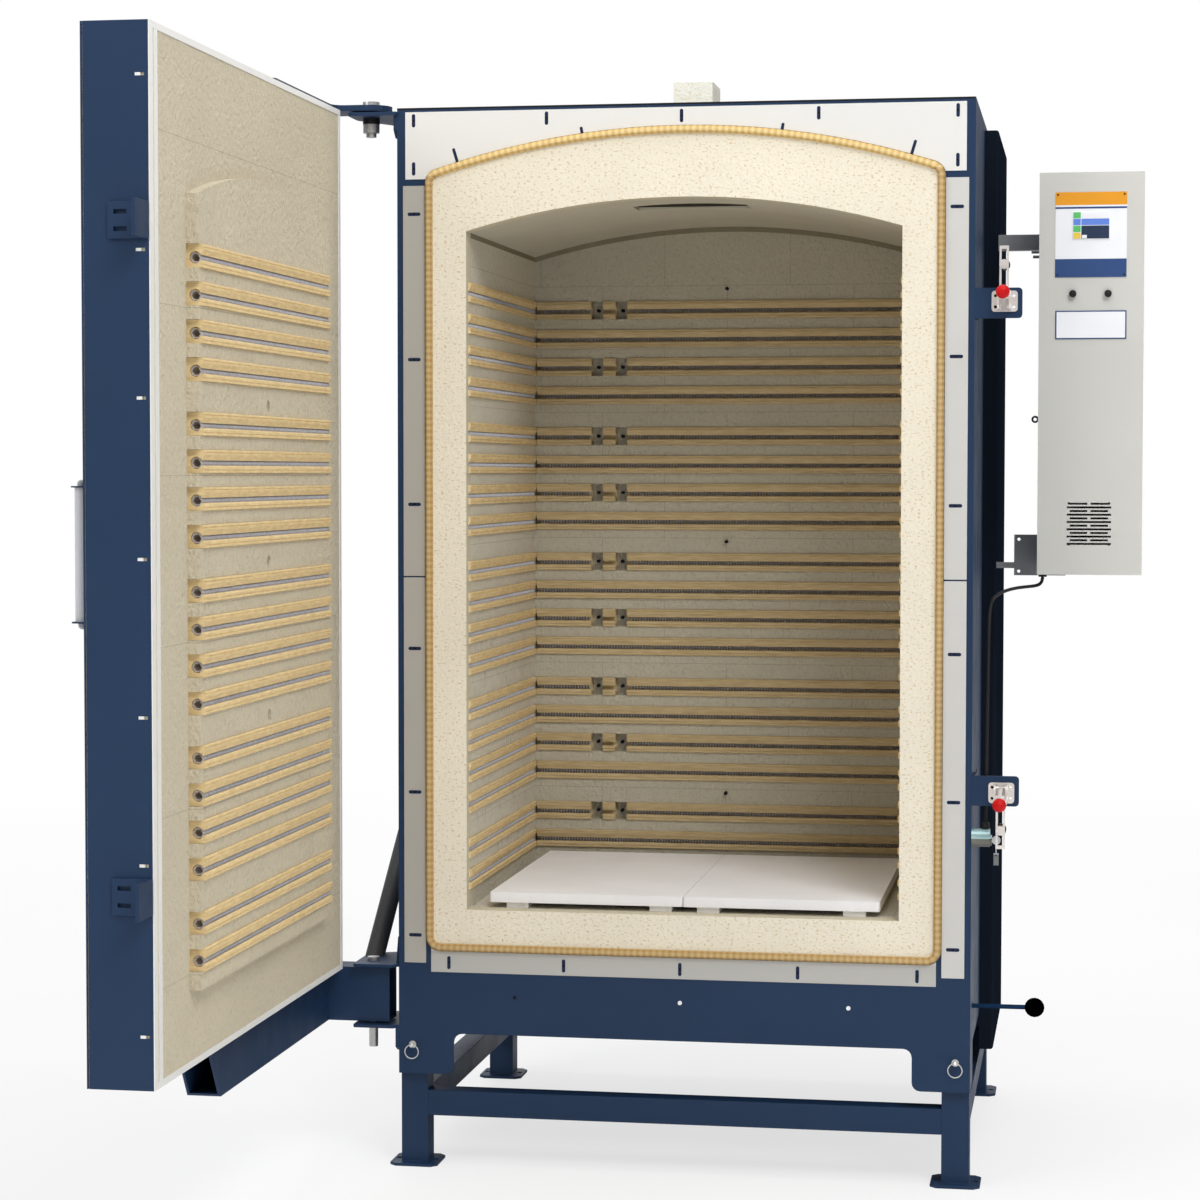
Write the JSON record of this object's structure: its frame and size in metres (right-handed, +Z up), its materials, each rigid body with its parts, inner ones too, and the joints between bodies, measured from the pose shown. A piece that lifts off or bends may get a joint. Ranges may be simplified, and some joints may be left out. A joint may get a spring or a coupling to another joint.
{
  "type": "front-loading kiln",
  "caption": "Front-loading electric kiln on a steel stand: brick-lined chamber with heating rows, side-hinged door, toggle latches, control box on an arm, vent plug and damper rod.",
  "frame": {"origin": "centre of the pattern of anchor holes in the four foot plates, on the floor", "axes": "+X to the right of the kiln seen from the front, +Y into the kiln, +Z up"},
  "size_m": [1.434, 1.8474, 1.795],
  "materials": {
    "navy_paint": "satin powder coat",
    "dark_paint": "satin powder coat",
    "white_paint": "satin white",
    "soft_brick": "rough insulating firebrick",
    "hard_ceramic": "matt fired ceramic",
    "shelf_ceramic": "matt pressed ceramic",
    "rope_seal": "braided fibre rope",
    "element_wire": "oxidised resistance wire",
    "zinc_steel": "bright zinc plate",
    "grey_paint": "satin grey",
    "box_paint": "fine textured light grey",
    "panel_film": "printed film",
    "black_plastic": "moulded black",
    "black_rubber": "soft black jacket",
    "red_ball": "gloss red",
    "damper_steel": "dark paint with a black ball"
  },
  "bodies": {
    "kiln": {"brick_floor": "soft_brick", "brick_roof_arch": "soft_brick", "brick_side_walls": "soft_brick", "brick_wall_back": "soft_brick", "cable_glands": "black_plastic", "case_back_panel": "navy_paint", "case_front_frame": "navy_paint", "case_left_panel": "navy_paint", "case_right_panel": "navy_paint", "case_roof": "navy_paint", "clamp_mounts": "navy_paint", "control_arms": "grey_paint", "control_box_cover": "box_paint", "control_box_shell": "box_paint", "control_lead": "black_rubber", "controller_panel": "panel_film", "door_gasket": "rope_seal", "element_holders": "hard_ceramic", "fan_frame": "black_plastic", "floor_pan": "dark_paint", "front_brick_ring": "soft_brick", "front_trim_panels": "white_paint", "fuse_holders": "black_plastic", "heating_elements": "element_wire", "hinge_brackets": "navy_paint", "hinge_pins": "zinc_steel", "hinge_strut": "grey_paint", "interlock_body": "navy_paint", "rear_cover": "dark_paint", "shelf_posts": "shelf_ceramic", "side_cover": "dark_paint", "stand_legs": "navy_paint", "stand_rails": "navy_paint", "terminal_pins": "element_wire", "thermocouples": "element_wire"},
    "door": {"door_shell": "navy_paint", "door_trim": "white_paint", "door_bricks": "soft_brick", "door_element_holders": "hard_ceramic", "door_heating_elements": "element_wire", "door_handle": "grey_paint", "latch_keepers": "navy_paint", "door_hinge_arms": "navy_paint"},
    "vent_plug": {"vent_plug": "soft_brick"},
    "shelf_left": {"shelf_left": "shelf_ceramic"},
    "shelf_right": {"shelf_right": "shelf_ceramic"},
    "damper_rod": {"damper_rod": "damper_steel"},
    "retaining_pin_left": {"retaining_pin_left": "zinc_steel"},
    "retaining_pin_right": {"retaining_pin_right": "zinc_steel"},
    "pull_ring_left": {"pull_ring_left": "zinc_steel"},
    "pull_ring_right": {"pull_ring_right": "zinc_steel"},
    "clamp_arm_upper": {"clamp_arm_upper": "zinc_steel"},
    "clamp_arm_lower": {"clamp_arm_lower": "zinc_steel"},
    "clamp_lever_upper": {"clamp_lever_upper": "red_ball"},
    "clamp_lever_lower": {"clamp_lever_lower": "red_ball"},
    "interlock_key": {"interlock_key": "zinc_steel"},
    "fan_rotor": {"fan_rotor": "black_plastic"},
    "peephole_plug_upper": {"peephole_plug_upper": "hard_ceramic"},
    "peephole_plug_middle": {"peephole_plug_middle": "hard_ceramic"},
    "peephole_plug_lower": {"peephole_plug_lower": "hard_ceramic"}
  },
  "joints": [
    {"name": "door_swing", "type": "hinge", "parent": "kiln", "child": "door", "pos_m": [-0.52, -0.3592, 0.9], "axis": [0, 0, 1], "range_deg": [-80, 90]},
    {"name": "retaining_pin_left_pull", "type": "slide", "parent": "kiln", "child": "retaining_pin_left", "axis": [0, -1, 0], "range_m": [0, 0.06]},
    {"name": "pull_ring_left_swing", "type": "hinge", "parent": "retaining_pin_left", "child": "pull_ring_left", "pos_m": [-0.44557, -0.3998, 0.2034], "axis": [-1, 0, 0], "range_deg": [0, 90]},
    {"name": "shelf_left_lift", "type": "slide", "parent": "kiln", "child": "shelf_left", "axis": [0, 0, 1], "range_m": [0, 0.1]},
    {"name": "retaining_pin_right_pull", "type": "slide", "parent": "kiln", "child": "retaining_pin_right", "axis": [0, -1, 0], "range_m": [0, 0.06]},
    {"name": "pull_ring_right_swing", "type": "hinge", "parent": "retaining_pin_right", "child": "pull_ring_right", "pos_m": [0.44557, -0.3998, 0.2034], "axis": [-1, 0, 0], "range_deg": [0, 90]},
    {"name": "shelf_right_lift", "type": "slide", "parent": "kiln", "child": "shelf_right", "axis": [0, 0, 1], "range_m": [0, 0.1]},
    {"name": "clamp_lever_upper_turn", "type": "hinge", "parent": "kiln", "child": "clamp_lever_upper", "pos_m": [0.51585, -0.4092, 1.409], "axis": [1, 0, 0], "range_deg": [0, 62]},
    {"name": "clamp_arm_upper_turn", "type": "hinge", "parent": "kiln", "child": "clamp_arm_upper", "pos_m": [0.51585, -0.4287, 1.4235], "axis": [1, 0, 0], "range_deg": [0, 93]},
    {"name": "clamp_lever_lower_turn", "type": "hinge", "parent": "kiln", "child": "clamp_lever_lower", "pos_m": [0.51585, -0.4092, 0.6485], "axis": [-1, 0, 0], "range_deg": [0, 62]},
    {"name": "clamp_arm_lower_turn", "type": "hinge", "parent": "kiln", "child": "clamp_arm_lower", "pos_m": [0.51585, -0.4287, 0.634], "axis": [-1, 0, 0], "range_deg": [0, 93]},
    {"name": "vent_plug_lift", "type": "slide", "parent": "kiln", "child": "vent_plug", "axis": [0, 0, 1], "range_m": [0, 0.12]},
    {"name": "damper_slide", "type": "slide", "parent": "kiln", "child": "damper_rod", "axis": [1, 0, 0], "range_m": [-0.08, 0.04]},
    {"name": "key_turn", "type": "hinge", "parent": "kiln", "child": "interlock_key", "pos_m": [0.5, -0.3832, 0.562], "axis": [1, 0, 0], "range_deg": [0, 90]},
    {"name": "fan_spin", "type": "hinge", "parent": "kiln", "child": "fan_rotor", "pos_m": [0.649, -0.1812, 1.064], "axis": [0, 1, 0], "continuous": true},
    {"name": "peephole_plug_upper_pull", "type": "slide", "parent": "door", "child": "peephole_plug_upper", "axis": [-1, 0, 0], "range_m": [0, 0.12]},
    {"name": "peephole_plug_middle_pull", "type": "slide", "parent": "door", "child": "peephole_plug_middle", "axis": [-1, 0, 0], "range_m": [0, 0.12]},
    {"name": "peephole_plug_lower_pull", "type": "slide", "parent": "door", "child": "peephole_plug_lower", "axis": [-1, 0, 0], "range_m": [0, 0.12]}
  ],
  "couplings": [
    {"joint": "clamp_arm_upper_turn", "follows": "clamp_lever_upper_turn", "ratio": 1.5},
    {"joint": "clamp_arm_lower_turn", "follows": "clamp_lever_lower_turn", "ratio": 1.5}
  ]
}
